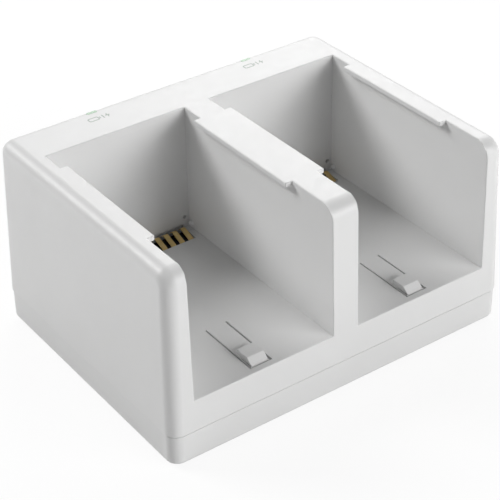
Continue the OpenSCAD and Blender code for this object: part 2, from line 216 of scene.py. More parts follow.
# Stage: floor and lamps in metres, each lamp with its place and size; the camera's place
# in millimetres, its view as a direction and its roll in degrees
FLOOR_SIZE = 6
FLOOR_GREY = 0.85
FLOOR_GLOW = 0.9
LAMP_AIM = (0, 0, 0.02)
LAMPS = {
    "rear_left": ((-0.65, 0.85, 0.8), (0.6, 0.5)),
    "rear_right": ((0.8, 0.8, 0.7), (0.9, 0.7)),
    "front": ((0.5, -1.05, 0.42), (0.8, 0.6)),
}
CAMERA_PLACE = (-182.503, -257.495, 230.841)
CAMERA_LOOK = (0.47965, 0.67866, -0.55619)
CAMERA_ROLL = -1.09


def half_w(z, inset=0.0):
    """Half width of the housing at a height, moved in by an inset"""
    return TOP_HALF_W + (Z_TOP - z) * LEAN - inset


def half_d(z, inset=0.0):
    """Half depth of the housing at a height, moved in by an inset"""
    return TOP_HALF_D + (Z_TOP - z) * LEAN - inset


# Modelling tools

def clear_selection():
    """Leaves edit mode and deselects everything"""
    if bpy.context.object and bpy.context.object.mode != "OBJECT":
        bpy.ops.object.mode_set(mode="OBJECT")
    bpy.ops.object.select_all(action="DESELECT")


def take(obj):
    """Makes obj the only selected object and the active one"""
    clear_selection()
    obj.select_set(True)
    bpy.context.view_layer.objects.active = obj
    return obj


def settle(name):
    """Names the new primitive and puts its place into its mesh"""
    obj = bpy.context.object
    obj.name = obj.data.name = name
    bpy.ops.object.transform_apply(location=True, rotation=True, scale=True)
    return obj


def box(name, low, high):
    """A block between two corners in millimetres"""
    low, high = Vector(low) * MM, Vector(high) * MM
    clear_selection()
    bpy.ops.mesh.primitive_cube_add(size=1, location=(low + high) / 2, scale=high - low)
    return settle(name)


def rod(name, start, radius, length, axis="Z", vertices=48):
    """A round bar from its start point along an axis"""
    turn = {"X": (0, math.pi / 2, 0), "Y": (-math.pi / 2, 0, 0), "Z": (0, 0, 0)}[axis]
    way = Vector([float(axis == letter) for letter in "XYZ"])
    clear_selection()
    bpy.ops.mesh.primitive_cylinder_add(
        vertices=vertices, radius=radius * MM, depth=length * MM,
        location=(Vector(start) + way * length / 2) * MM, rotation=turn,
    )
    return settle(name)


def pick(obj, kind, test):
    """Enters edit mode with the edges or faces selected that pass the test"""
    take(obj)
    bpy.ops.object.mode_set(mode="EDIT")
    bpy.ops.mesh.select_mode(type=kind)
    bpy.ops.mesh.select_all(action="DESELECT")
    mesh = bmesh.from_edit_mesh(obj.data)
    mesh.normal_update()
    chosen = [part for part in (mesh.edges if kind == "EDGE" else mesh.faces) if test(part)]
    if not chosen:
        raise RuntimeError(f"{obj.name}: nothing passes the test")
    for part in chosen:
        part.select_set(True)
    bmesh.update_edit_mesh(obj.data)


def middle(edge):
    """An edge's middle in millimetres"""
    return (edge.verts[0].co + edge.verts[1].co) / 2 / MM


def direction(edge):
    """An edge's direction, one unit long"""
    return (edge.verts[1].co - edge.verts[0].co).normalized()


def upright(edge):
    """True for an edge that runs up, or leans only a little"""
    return abs(direction(edge).z) > 0.9


def convex(edge, least=50):
    """True where two faces meet at an outward edge sharper than least degrees"""
    return len(edge.link_faces) == 2 and edge.calc_face_angle_signed(0) > math.radians(least)


def round_edges(obj, radius, segments, test):
    """Rounds the edges that pass the test"""
    pick(obj, "EDGE", test)
    bpy.ops.mesh.bevel(offset=radius * MM, offset_type="OFFSET", segments=segments,
                       profile=0.5, affect="EDGES", clamp_overlap=False)
    bpy.ops.object.mode_set(mode="OBJECT")


def combine(obj, tools, operation="DIFFERENCE"):
    """Cuts the tools from obj, or joins them to it, one after the other"""
    for tool in tools:
        take(obj)
        modifier = obj.modifiers.new("combine", "BOOLEAN")
        modifier.operation = operation
        modifier.solver = "EXACT"
        modifier.object = tool
        bpy.ops.object.modifier_apply(modifier=modifier.name)
        bpy.data.objects.remove(tool)
    return obj


def flatten(obj):
    """Joins faces that lie in one plane"""
    pick(obj, "FACE", lambda face: True)
    bpy.ops.mesh.remove_doubles(threshold=0.002 * MM)
    bpy.ops.mesh.dissolve_limited(angle_limit=math.radians(0.4))
    bpy.ops.object.mode_set(mode="OBJECT")


def smooth(obj, angle=32):
    """Smooth shading that keeps the flat faces flat"""
    take(obj)
    bpy.ops.object.shade_smooth_by_angle(angle=math.radians(angle))
    modifier = obj.modifiers.new("face normals", "WEIGHTED_NORMAL")
    modifier.keep_sharp = True
    modifier.weight = 100
    bpy.ops.object.modifier_apply(modifier=modifier.name)


def copy_to(obj, name, shift):
    """A copy with its own mesh, moved by a distance in millimetres"""
    take(obj)
    bpy.ops.object.duplicate()
    bpy.ops.transform.translate(value=tuple(Vector(shift) * MM))
    return settle(name)


def dress(obj, body, material, nodes=()):
    """Gives a finished piece its material in one slot and its body, and hides the imported nodes
    that it stands for
    """
    obj.data.materials.clear()
    obj.data.materials.append(material)
    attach(obj, body)
    if nodes:
        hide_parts(*nodes)


def repaint(node, material):
    """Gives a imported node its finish"""
    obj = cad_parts[node]
    if obj.material_slots:
        for slot in obj.material_slots:
            slot.material = material
    else:
        obj.data.materials.append(material)


def leaning_block(name, z_low, z_high, inset=0.0):
    """A block whose sides lean in towards the top, as the housing's do"""
    wide, deep = half_w(z_low, inset), half_d(z_low, inset)
    block = box(name, (-wide, -deep, z_low), (wide, deep, z_high))
    pick(block, "FACE", lambda face: face.normal.z > 0.9)
    bpy.ops.transform.resize(
        value=(half_w(z_high, inset) / wide, half_d(z_high, inset) / deep, 1),
        center_override=(0, 0, 0),
    )
    bpy.ops.object.mode_set(mode="OBJECT")
    return block


# Materials

def material_base(name):
    """A new material with its nodes, its main shader and a texture coordinate in object space"""
    material = bpy.data.materials.new(name)
    material.use_nodes = True
    nodes = material.node_tree.nodes
    shader = nodes["Principled BSDF"]
    place = nodes.new("ShaderNodeTexCoord")
    return material, nodes, material.node_tree.links, shader, place.outputs["Object"]


def noise(nodes, links, place, scale, detail=3.0, stretch=None):
    """A noise pattern; stretch scales it along each axis"""
    texture = nodes.new("ShaderNodeTexNoise")
    texture.inputs["Scale"].default_value = scale
    texture.inputs["Detail"].default_value = detail
    if stretch:
        mapping = nodes.new("ShaderNodeMapping")
        mapping.inputs["Scale"].default_value = stretch
        links.new(place, mapping.inputs["Vector"])
        place = mapping.outputs["Vector"]
    links.new(place, texture.inputs["Vector"])
    return texture.outputs["Fac"]


def spread(nodes, links, value, low, high, start=0.3, end=0.7):
    """Turns a pattern's value into one between low and high"""
    ramp = nodes.new("ShaderNodeMapRange")
    ramp.inputs["From Min"].default_value = start
    ramp.inputs["From Max"].default_value = end
    ramp.inputs["To Min"].default_value = low
    ramp.inputs["To Max"].default_value = high
    links.new(value, ramp.inputs["Value"])
    return ramp.outputs["Result"]


def two_tone(nodes, links, value, first, second):
    """Mixes two colours by a pattern's value"""
    mix = nodes.new("ShaderNodeMix")
    mix.data_type = "RGBA"
    mix.inputs["A"].default_value = (*first, 1)
    mix.inputs["B"].default_value = (*second, 1)
    links.new(value, mix.inputs["Factor"])
    return mix.outputs["Result"]


def bump(nodes, links, shader, value, strength, distance):
    """Relief from a pattern, its height given in millimetres"""
    relief = nodes.new("ShaderNodeBump")
    relief.inputs["Strength"].default_value = strength
    relief.inputs["Distance"].default_value = distance * MM
    links.new(value, relief.inputs["Height"])
    links.new(relief.outputs["Normal"], shader.inputs["Normal"])


def shade(colour, factor):
    """A colour made darker or lighter"""
    return tuple(channel * factor for channel in colour)


def moulded_plastic(name, colour, roughness=0.42, grain=5200.0, relief=0.01, contrast=0.97):
    """Moulded plastic: fine spark grain, faint flow shades and uneven gloss"""
    material, nodes, links, shader, place = material_base(name)
    flow = spread(nodes, links, noise(nodes, links, place, scale=38, detail=2), 0, 1)
    tones = two_tone(nodes, links, flow, colour, shade(colour, contrast))
    links.new(tones, shader.inputs["Base Color"])
    gloss = noise(nodes, links, place, scale=420, detail=4)
    gloss = spread(nodes, links, gloss, roughness - 0.04, roughness + 0.05)
    links.new(gloss, shader.inputs["Roughness"])
    sparks = noise(nodes, links, place, scale=grain, detail=2)
    bump(nodes, links, shader, sparks, strength=0.35, distance=relief)
    shader.inputs["IOR"].default_value = 1.5
    return material


def plated_metal(name, colour, tarnish, roughness=0.24, stretch=(1, 1, 1), root=None):
    """Bare or plated metal: drawing marks along one way and a duller film in patches.

    root gives painted shade: a shade colour and the heights in millimetres between which it gives
    way to the plating, so that the metal is painted darker towards the bottom
    """
    material, nodes, links, shader, place = material_base(name)
    film = noise(nodes, links, place, scale=900, detail=4)
    film = spread(nodes, links, film, 0, 1, start=0.35, end=0.75)
    plating = two_tone(nodes, links, film, colour, tarnish)
    # Painted shade: below the given heights the colour fades to a darker shade colour, standing
    # in for the shadow near and below the bay floor
    if root:
        painted_shade, low, high = root
        height = nodes.new("ShaderNodeSeparateXYZ")
        links.new(place, height.inputs["Vector"])
        shade_fade = spread(nodes, links, height.outputs["Z"], 0, 1, start=low * MM, end=high * MM)
        mix = two_tone(nodes, links, shade_fade, painted_shade, colour)
        links.new(plating, mix.node.inputs["B"])
        plating = mix
    links.new(plating, shader.inputs["Base Color"])
    lines = noise(nodes, links, place, scale=5000, detail=3, stretch=stretch)
    gloss = spread(nodes, links, lines, roughness - 0.06, roughness + 0.14)
    links.new(gloss, shader.inputs["Roughness"])
    bump(nodes, links, shader, lines, strength=0.3, distance=0.006)
    shader.inputs["Metallic"].default_value = 1.0
    return material


def lens_plastic(name, colour):
    """Tinted clear plastic that scatters a little"""
    material, nodes, links, shader, place = material_base(name)
    haze = spread(nodes, links, noise(nodes, links, place, scale=700, detail=3), 0, 1)
    tint = two_tone(nodes, links, haze, colour, shade(colour, 0.88))
    links.new(tint, shader.inputs["Base Color"])
    gloss = noise(nodes, links, place, scale=2600, detail=2)
    links.new(spread(nodes, links, gloss, 0.24, 0.36), shader.inputs["Roughness"])
    shader.inputs["Transmission Weight"].default_value = 0.25
    shader.inputs["IOR"].default_value = 1.49
    return material


def board_laminate(name, mask, copper):
    """Solder mask over copper: wide tracks on a grid show as a lighter green"""
    material, nodes, links, shader, place = material_base(name)
    tracks = nodes.new("ShaderNodeTexBrick")
    tracks.inputs["Scale"].default_value = 260
    tracks.inputs["Mortar Size"].default_value = 0.045
    for socket, level in (("Color1", 0), ("Color2", 0), ("Mortar", 1)):
        tracks.inputs[socket].default_value = (level, level, level, 1)
    links.new(place, tracks.inputs["Vector"])
    greens = two_tone(nodes, links, tracks.outputs["Color"], mask, copper)
    links.new(greens, shader.inputs["Base Color"])
    weave = noise(nodes, links, place, scale=2400, detail=3)
    links.new(spread(nodes, links, weave, 0.28, 0.42), shader.inputs["Roughness"])
    bump(nodes, links, shader, tracks.outputs["Color"], strength=0.4, distance=0.03)
    return material


def foot_rubber(name, colour):
    """Matt rubber with a fine pebbled skin"""
    material, nodes, links, shader, place = material_base(name)
    pebbles = nodes.new("ShaderNodeTexVoronoi")
    pebbles.inputs["Scale"].default_value = 2600
    links.new(place, pebbles.inputs["Vector"])
    dust = spread(nodes, links, noise(nodes, links, place, scale=260, detail=4), 0, 1)
    skin = two_tone(nodes, links, dust, colour, shade(colour, 1.7))
    links.new(skin, shader.inputs["Base Color"])
    gloss = spread(nodes, links, dust, 0.72, 0.88, start=0, end=1)
    links.new(gloss, shader.inputs["Roughness"])
    bump(nodes, links, shader, pebbles.outputs["Distance"], strength=0.5, distance=0.03)
    return material


def finish(name):
    """The material of that name, made on its first use"""
    if name in bpy.data.materials:
        return bpy.data.materials[name]
    colours = bpy.context.scene.charger_finish
    makers = {
        "station_white": lambda n: moulded_plastic(n, colours.housing),
        "station_base": lambda n: moulded_plastic(n, colours.base, roughness=0.46),
        "comb_black": lambda n: moulded_plastic(
            n, (0.012, 0.012, 0.013), roughness=0.5, contrast=1.5),
        "chip_black": lambda n: moulded_plastic(
            n, (0.02, 0.02, 0.021), roughness=0.6, contrast=1.4),
        "ferrite_grey": lambda n: moulded_plastic(
            n, (0.075, 0.072, 0.07), roughness=0.65, grain=3000, relief=0.03, contrast=0.7),
        "lamp_white": lambda n: moulded_plastic(n, (0.8, 0.78, 0.7), roughness=0.4),
        "print_ink": lambda n: moulded_plastic(
            n, colours.ink, roughness=0.55, grain=3000, relief=0.004, contrast=0.9),
        # The contact leaves are painted darker near and below the bay floor: painted shade, not a
        # colour of the plating
        "contact_gold": lambda n: plated_metal(
            n, colours.gold, (0.42, 0.27, 0.1), roughness=0.18, stretch=(1, 0.05, 0.05),
            root=((0.1, 0.075, 0.045), FLOOR_Z - 0.1, FLOOR_Z + 0.95)),
        "can_aluminium": lambda n: plated_metal(
            n, (0.72, 0.73, 0.74), (0.55, 0.56, 0.58), roughness=0.34, stretch=(1, 1, 0.05)),
        "inlet_steel": lambda n: plated_metal(
            n, (0.62, 0.62, 0.6), (0.42, 0.42, 0.4), roughness=0.3, stretch=(1, 0.05, 1)),
        "screw_steel": lambda n: plated_metal(
            n, (0.5, 0.5, 0.49), (0.3, 0.3, 0.29), roughness=0.33),
        "window_green": lambda n: lens_plastic(n, colours.window),
        "board_green": lambda n: board_laminate(n, (0.008, 0.09, 0.03), (0.02, 0.2, 0.07)),
        "foot_black": lambda n: foot_rubber(n, (0.02, 0.02, 0.02)),
    }
    return makers[name](name)


# Settings

class ChargerShape(bpy.types.PropertyGroup):
    """Sizes of the softened edges and of the printed marks"""
    corner_radius: FloatProperty(
        name="Outer Rounding",
        description="Radius of the upright corners and of the outer top edges",
        default=3.1 * MM, min=2 * MM, max=3.6 * MM,
        precision=4, subtype="DISTANCE", unit="LENGTH")
    nose_radius: FloatProperty(
        name="Nose Rounding",
        description="Radius of the walls' front top corners, seen from the side",
        default=4 * MM, min=3 * MM, max=6 * MM,
        precision=4, subtype="DISTANCE", unit="LENGTH")
    rim_radius: FloatProperty(
        name="Rim Rounding", description="Radius along the rims of the bays",
        default=0.3 * MM, min=0.1 * MM, max=0.6 * MM,
        precision=5, subtype="DISTANCE", unit="LENGTH")
    base_radius: FloatProperty(
        name="Base Rounding", description="Radius along the bottom edge of the base",
        default=1 * MM, min=0.6 * MM, max=1.4 * MM,
        precision=4, subtype="DISTANCE", unit="LENGTH")
    mark_line: FloatProperty(
        name="Mark Line", description="Width of the lines of the printed marks",
        default=0.33 * MM, min=0.1 * MM, max=0.5 * MM,
        precision=5, subtype="DISTANCE", unit="LENGTH")


class ChargerFinish(bpy.types.PropertyGroup):
    """Colours of the station"""
    housing: FloatVectorProperty(
        name="Housing", description="Colour of the housing and the latch tongues",
        default=(0.745, 0.745, 0.742), size=3, min=0, max=1, subtype="COLOR")
    base: FloatVectorProperty(
        name="Base", description="Colour of the base cover",
        default=(0.735, 0.735, 0.732), size=3, min=0, max=1, subtype="COLOR")
    gold: FloatVectorProperty(
        name="Contacts", description="Colour of the contact leaves",
        default=(0.83, 0.6, 0.22), size=3, min=0, max=1, subtype="COLOR")
    window: FloatVectorProperty(
        name="Light Windows", description="Tint of the light windows",
        default=(0.46, 0.68, 0.48), size=3, min=0, max=1, subtype="COLOR")
    ink: FloatVectorProperty(
        name="Printed Marks", description="Colour of the printed marks",
        default=(0.45, 0.5, 0.46), size=3, min=0, max=1, subtype="COLOR")


class ChargerStage(bpy.types.PropertyGroup):
    """Floor, light and lens"""
    floor: FloatVectorProperty(
        name="Floor", description="Colour of the floor",
        default=(1, 1, 1), size=3, min=0, max=1, subtype="COLOR")
    rear_left_power: FloatProperty(
        name="Rear Left Light", description="Power of the lamp behind and to the left",
        default=12.8, min=0, unit="POWER")
    rear_right_power: FloatProperty(
        name="Rear Right Light", description="Power of the lamp behind and to the right",
        default=9.4, min=0, unit="POWER")
    front_power: FloatProperty(
        name="Front Light", description="Power of the lamp in front and to the right",
        default=11.4, min=0, unit="POWER")
    sky: FloatProperty(
        name="Sky", description="Strength of the even light from all round",
        default=0.1, min=0, max=2)
    lens: FloatProperty(
        name="Lens", description="Focal length of the camera",
        default=113.355, min=20, max=300, subtype="DISTANCE_CAMERA")


# Pieces

def bay_form(side, cx):
    """The space of one bay, with the two lips left out"""
    space = box(f"{side}_bay", (cx - BAY_W / 2, -FAR, FLOOR_Z),
                (cx + BAY_W / 2, BAY_BACK, Z_TOP + FAR))
    lips = []
    for way in (-1, 1):
        wall = cx + way * BAY_W / 2
        x_low, x_high = sorted((wall - way * LIP_OUT, wall + way * LIP_ROOT))
        lips.append(box("lip", (x_low, LIP_Y[0], Z_TOP - LIP_T),
                        (x_high, LIP_Y[1], Z_TOP + 2 * FAR)))
    return combine(space, lips)


def stadium(name, centre, wide, deep, z_low, z_high):
    """An upright bar with round ends, rounded just short of a half circle"""
    x, y = centre
    bar = box(name, (x - wide / 2, y - deep / 2, z_low), (x + wide / 2, y + deep / 2, z_high))
    round_edges(bar, deep / 2 - SNAP / 2, 8, upright)
    return bar


class CHARGER_OT_upper_housing(bpy.types.Operator):
    """Model the white housing with its bays, lips, slits and windows"""
    bl_idname = "charger.upper_housing"
    bl_label = "Model Upper Housing"

    def hollow(self):
        """The space inside the housing, around the bays and the screw bosses"""
        space = leaning_block("hollow", Z_SEAM - 2 * OVER, Z_TOP - ROOF_T, SKIN_T)
        round_edges(space, HOLLOW_CORNER, 4, upright)
        keep = [
            box("skin", (cx - BAY_W / 2 - SKIN_T, -FAR, FLOOR_Z - FLOOR_T),
                (cx + BAY_W / 2 + SKIN_T, BAY_BACK + SKIN_T, Z_TOP + FAR))
            for cx in SIDES.values()
        ]
        keep += [rod("boss", (*place, POST_Z), BOSS_D / 2, BOSS_ROOM) for place in BOSSES]
        return combine(space, keep)

    def openings(self, side, cx):
        """All that is cut out of the housing at one bay"""
        half_slit = TONGUE_W / 2 + SLIT_W
        row = cx + ROW_DX
        row_low, row_high = row - WINDOW_W / 2, row + WINDOW_W / 2
        below, above = FLOOR_Z - FLOOR_T - OVER, FLOOR_Z + OVER
        keyhole = (cx + BAY_W / 2 - KEYHOLE_IN, BAY_BACK - OVER, FLOOR_Z + KEYHOLE_UP)
        return [
            bay_form(side, cx),
            box("tongue_slit", (cx - half_slit, ROOT_Y - TONGUE_L - SLIT_W, below),
                (cx + half_slit, ROOT_Y, above)),
            box("contact_window", (row_low, BAY_BACK - WINDOW_L, below),
                (row_high, BAY_BACK + SNAP, above)),
            box("contact_notch", (row_low, BAY_BACK - OVER, below),
                (row_high, BAY_BACK + NOTCH_D, FLOOR_Z + NOTCH_H)),
            rod("keyhole", keyhole, *KEYHOLE, axis="Y", vertices=24),
            stadium("window", (cx, LIGHT_Y), LIGHT_W + LIGHT_GAP, LIGHT_D + LIGHT_GAP,
                    Z_TOP - ROOF_T - 2 * OVER, Z_TOP + 2 * OVER),
        ]

    def inlet_mouth(self):
        """The round-ended hole in the back wall for the power inlet"""
        mouth = box("inlet_mouth", (-MOUTH_W / 2, TOP_HALF_D - MOUTH_REACH, MOUTH_Z[0]),
                    (MOUTH_W / 2, TOP_HALF_D + MOUTH_REACH, MOUTH_Z[1]))
        round_edges(mouth, MOUTH_ROUND, 8, lambda edge: abs(direction(edge).y) > 0.9)
        return mouth

    def soften(self, shell, radius):
        """Rounds the rims of the bays, the front ends of the walls and the lips' lower edges"""
        flat = 0.02
        front_y = -34.9
        outer_x = 41.6

        def on_rim(edge):
            at = middle(edge)
            at_window = abs(at.y - LIGHT_Y) <= 2 * LIGHT_D
            return convex(edge) and abs(at.z - Z_TOP) < flat and not at_window

        def on_front(edge):
            at = middle(edge)
            return (convex(edge) and at.y < front_y and abs(at.x) < outer_x
                    and at.z > FLOOR_Z - flat and abs(at.z - Z_TOP) > flat)

        def on_lip(edge):
            at = middle(edge)
            from_wall = min(abs(abs(at.x - cx) - BAY_W / 2) for cx in SIDES.values())
            return (convex(edge) and Z_TOP - LIP_T - flat < at.z < Z_TOP - flat
                    and from_wall < LIP_OUT + NEAR
                    and LIP_Y[0] - NEAR < at.y < LIP_Y[1] + NEAR)

        round_edges(shell, radius, 3, lambda edge: on_rim(edge) or on_front(edge) or on_lip(edge))

    def nub(self, cx):
        """The round nub in a bay's far right corner"""
        place = Vector((cx + BAY_W / 2, BAY_BACK - NUB_FRONT, FLOOR_Z + NUB_UP)) * MM
        clear_selection()
        bpy.ops.mesh.primitive_uv_sphere_add(
            segments=28, ring_count=16, radius=NUB_R * MM, location=place)
        return settle("nub")

    def execute(self, context):
        shape = context.scene.charger_shape
        shell = leaning_block("housing_shell", Z_SEAM, Z_TOP)
        round_edges(shell, shape.nose_radius / MM, 12, lambda edge: (
            middle(edge).z > Z_TOP - NEAR and middle(edge).y < -TOP_HALF_D + NEAR))
        round_edges(shell, shape.corner_radius / MM, 10, lambda edge: (
            convex(edge, 60) and middle(edge).z > Z_SEAM + NEAR))
        combine(shell, [self.hollow()])
        for side, cx in SIDES.items():
            combine(shell, self.openings(side, cx))
        holes = [rod("screw_hole", (*place, POST_Z - OVER), *SCREW_HOLE, vertices=24)
                 for place in BOSSES]
        combine(shell, holes + [self.inlet_mouth()])
        flatten(shell)
        self.soften(shell, shape.rim_radius / MM)
        combine(shell, [self.nub(cx) for cx in SIDES.values()], "UNION")
        smooth(shell)
        dress(shell, "station", finish("station_white"), ["upper_housing"])
        return {"FINISHED"}


class CHARGER_OT_base_cover(bpy.types.Operator):
    """Model the shallow base cover with its rounded bottom edge, rim and posts"""
    bl_idname = "charger.base_cover"
    bl_label = "Model Base Cover"

    def tray(self, wide, deep, top, radius):
        """The open tray with its round corners and bottom edge"""
        inside = Z_BASE + BASE_FLOOR_T
        tray = box("base_tray", (-wide, -deep, Z_BASE), (wide, deep, top))
        round_edges(tray, BASE_CORNER, 10, upright)
        round_edges(tray, radius, 6, lambda edge: middle(edge).z < Z_BASE + SNAP)
        pick(tray, "FACE", lambda face: face.normal.z > 0.99)
        bpy.ops.mesh.inset(thickness=BASE_WALL * MM)
        bpy.ops.mesh.extrude_region_move(
            TRANSFORM_OT_translate={"value": (0, 0, (inside - top) * MM)})
        bpy.ops.object.mode_set(mode="OBJECT")
        return tray

    def rim_and_posts(self, top):
        """What stands on the tray's floor, each piece sunk a little into it"""
        low = Z_BASE + BASE_FLOOR_T - POST_SINK
        rim_top = Z_SEAM + RIM_UP
        rim_x, rim_y = half_w(rim_top, SKIN_T + RIM_GAP), half_d(rim_top, SKIN_T + RIM_GAP)
        added = []
        for way in (-1, 1):
            x_low, x_high = sorted((way * rim_x, way * (rim_x - RIM_T)))
            y_low, y_high = sorted((way * rim_y, way * (rim_y - RIM_T)))
            added.append(box("rim", (x_low, -RIM_HALF_D, low), (x_high, RIM_HALF_D, rim_top)))
            added.append(box("rim", (-RIM_HALF_W, y_low, low), (RIM_HALF_W, y_high, rim_top)))
        for place in BOSSES:
            added.append(rod("boss", (*place, low), BOSS_D / 2, top - low))
            added.append(rod("post", (*place, low), POST_D / 2, POST_Z - low))
        added += [rod("post", (*place, low), POST_D / 2, BOARD_TOP - BOARD_T - low)
                  for place in BOARD_POSTS]
        return added

    def holes(self):
        """The screw holes with room for the heads, the seats of the feet and the board's holes"""
        under = Z_BASE - OVER
        holes = []
        for boss, foot in zip(BOSSES, FEET):
            holes.append(rod("shank_hole", (*boss, under), *SHANK_HOLE, vertices=32))
            holes.append(rod("head_hole", (*boss, under), *HEAD_HOLE, vertices=40))
            holes.append(rod("foot_seat", (*foot, under), *FOOT_SEAT, vertices=64))
        holes += [rod("post_hole", (*place, PILOT_Z), *PILOT_HOLE, vertices=24)
                  for place in BOARD_POSTS]
        return holes

    def soften(self, tray, wide, deep, top):
        """Rounds the holes in the underside and the outer edge of the tray's top"""
        outer_band = BASE_CORNER + 0.2
        inner_band = 1.0

        def on_edge(edge):
            at = middle(edge)
            outer = abs(at.x) > wide - outer_band or abs(at.y) > deep - outer_band
            inner = abs(at.x) < wide - inner_band and abs(at.y) < deep - inner_band
            under = abs(at.z - Z_BASE) < SNAP and not outer
            above = abs(at.z - top) < SNAP and outer and not inner
            return convex(edge) and (under or above)

        round_edges(tray, BASE_SOFT, 2, on_edge)

    def execute(self, context):
        wide, deep, top = BASE_HIGH.x, BASE_HIGH.y, Z_SEAM - SEAM_GAP
        tray = self.tray(wide, deep, top, context.scene.charger_shape.base_radius / MM)
        combine(tray, self.rim_and_posts(top), "UNION")
        combine(tray, self.holes())
        flatten(tray)
        self.soften(tray, wide, deep, top)
        smooth(tray)
        dress(tray, "station", finish("station_base"), ["base_cover"])
        return {"FINISHED"}


class CHARGER_OT_latch_tongues(bpy.types.Operator):
    """Model the sprung tongues in the bay floors with their catch blocks"""
    bl_idname = "charger.latch_tongues"
    bl_label = "Model Latch Tongues"

    def catch(self, cx, y_low):
        """The catch block with a ramp up its front, sunk a little into the tongue"""
        catch = box("catch", (cx - CATCH_W / 2, y_low - RAMP_SINK, FLOOR_Z - CATCH_SINK),
                    (cx + CATCH_W / 2, y_low + CATCH_RAMP + CATCH_TOP, FLOOR_Z + CATCH_H))
        pick(catch, "EDGE", lambda edge: (
            middle(edge).y < y_low and middle(edge).z > FLOOR_Z + CATCH_H - SNAP))
        bpy.ops.transform.translate(value=(0, (CATCH_RAMP + RAMP_SINK) * MM, 0))
        bpy.ops.object.mode_set(mode="OBJECT")
        return catch

    def soften(self, tongue, cx, front):
        """Rounds the catch block, then the tongue's upper edges"""
        round_edges(tongue, 0.2, 3, lambda edge: (
            convex(edge, 20) and middle(edge).z > FLOOR_Z + CATCH_SINK))
        round_edges(tongue, 0.1, 2, lambda edge: (
            convex(edge) and abs(middle(edge).z - FLOOR_Z) < SNAP
            and (abs(middle(edge).x - cx) > TONGUE_W / 2 - SNAP
                 or middle(edge).y < front + SNAP)))

    def cut_for_bending(self, tongue):
        """Cuts the root across in even steps"""
        for step in range(1, BLEND_CUTS + 1):
            pick(tongue, "FACE", lambda face: True)
            bpy.ops.mesh.bisect(plane_co=(0, (ROOT_Y - step * BLEND_STEP) * MM, 0),
                                plane_no=(0, 1, 0))
            bpy.ops.object.mode_set(mode="OBJECT")

    def execute(self, context):
        front = ROOT_Y - TONGUE_L
        for side, cx in SIDES.items():
            tongue = box(f"{side}_tongue", (cx - TONGUE_W / 2, front, FLOOR_Z - TONGUE_T),
                         (cx + TONGUE_W / 2, ROOT_Y, FLOOR_Z))
            combine(tongue, [self.catch(cx, front + CATCH_IN)], "UNION")
            flatten(tongue)
            self.soften(tongue, cx, front)
            self.cut_for_bending(tongue)
            smooth(tongue)
            dress(tongue, "station", finish("station_white"),
                  [f"{side}_latch_tongue"])
            tongue.parent = None
            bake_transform(tongue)
        return {"FINISHED"}


class CHARGER_OT_contacts(bpy.types.Operator):
    """Model the gold contact leaves and finish the black combs that hold them"""
    bl_idname = "charger.contacts"
    bl_label = "Model Contacts"

    def path(self):
        """The leaf's middle line in Y and Z, bent softly at its root and its crest"""
        bends = [Vector((BAY_BACK - before, FLOOR_Z + above)) for before, above in LEAF_CORNERS]
        line = [bends[0]]
        for last, at, following in zip(bends, bends[1:], bends[2:]):
            start = at + (last - at).normalized() * LEAF_BEND
            end = at + (following - at).normalized() * LEAF_BEND
            for step in range(BEND_STEPS + 1):
                t = step / BEND_STEPS
                line.append(start * (1 - t) ** 2 + at * 2 * t * (1 - t) + end * t ** 2)
        return line + [bends[-1]]

    def leaf(self):
        """A leaf in the plane X 0: an edge drawn along the path, then made as thick as a leaf"""
        line = self.path()
        behind = line[0].x - LEAF_W / 2
        clear_selection()
        bpy.ops.mesh.primitive_plane_add(
            size=LEAF_W * MM, location=Vector((0, behind, line[0].y)) * MM)
        strip = settle("leaf")
        pick(strip, "EDGE", lambda edge: middle(edge).y < behind)
        bpy.ops.mesh.delete(type="VERT")
        bpy.ops.mesh.select_all(action="SELECT")
        for start, end in zip(line, line[1:]):
            step = (end - start) * MM
            bpy.ops.mesh.extrude_region_move(
                TRANSFORM_OT_translate={"value": (0, step.x, step.y)})
        bpy.ops.object.mode_set(mode="OBJECT")
        take(strip)
        thicken = {"thickness": LEAF_T * MM, "offset": 0, "use_even_offset": True}
        soften = {"width": LEAF_EDGE * MM, "segments": 2, "angle_limit": math.radians(50)}
        for kind, values in (("SOLIDIFY", thicken), ("BEVEL", soften)):
            modifier = strip.modifiers.new(kind.lower(), kind)
            for key, value in values.items():
                setattr(modifier, key, value)
            bpy.ops.object.modifier_apply(modifier=modifier.name)
        smooth(strip, 40)
        return strip

    def execute(self, context):
        first = self.leaf()
        for side, cx in SIDES.items():
            for i in range(CONTACT_N):
                x = cx + ROW_DX + (i - (CONTACT_N - 1) / 2) * CONTACT_PITCH
                leaf = copy_to(first, f"{side}_leaf_{i + 1}", (x, 0, 0))
                dress(leaf, f"{side}_contacts", finish("contact_gold"),
                      [f"{side}_contact_{i + 1}"])
            repaint(f"{side}_contact_holder", finish("comb_black"))
        bpy.data.objects.remove(first)
        return {"FINISHED"}


class CHARGER_OT_light_windows(bpy.types.Operator):
    """Model the light bars whose tops show as small windows over the bays"""
    bl_idname = "charger.light_windows"
    bl_label = "Model Light Windows"

    def execute(self, context):
        roof = Z_TOP - ROOF_T
        y_low, y_high = BAR_Y - BAR_HALF_D, BAR_Y + BAR_HALF_D
        for side, cx in SIDES.items():
            bar = box(f"{side}_light_bar", (cx - LIGHT_W / 2, y_low, BAR_FOOT),
                      (cx + LIGHT_W / 2, y_high, roof))
            shoulder = box("shoulder", (cx - SHOULDER_HALF_W, y_low, roof - SHOULDER_H),
                           (cx + SHOULDER_HALF_W, y_high, roof))
            lens = stadium("lens", (cx, LIGHT_Y), LIGHT_W, LIGHT_D, roof - NEAR, Z_TOP)
            combine(bar, [shoulder, lens], "UNION")
            flatten(bar)
            round_edges(bar, LIGHT_SOFT, 2, lambda edge: (
                convex(edge) and middle(edge).z > Z_TOP - SNAP))
            smooth(bar)
            dress(bar, "station", finish("window_green"),
                  [f"{side}_light_pipe"])
            repaint(f"{side}_status_lamp", finish("lamp_white"))
        return {"FINISHED"}


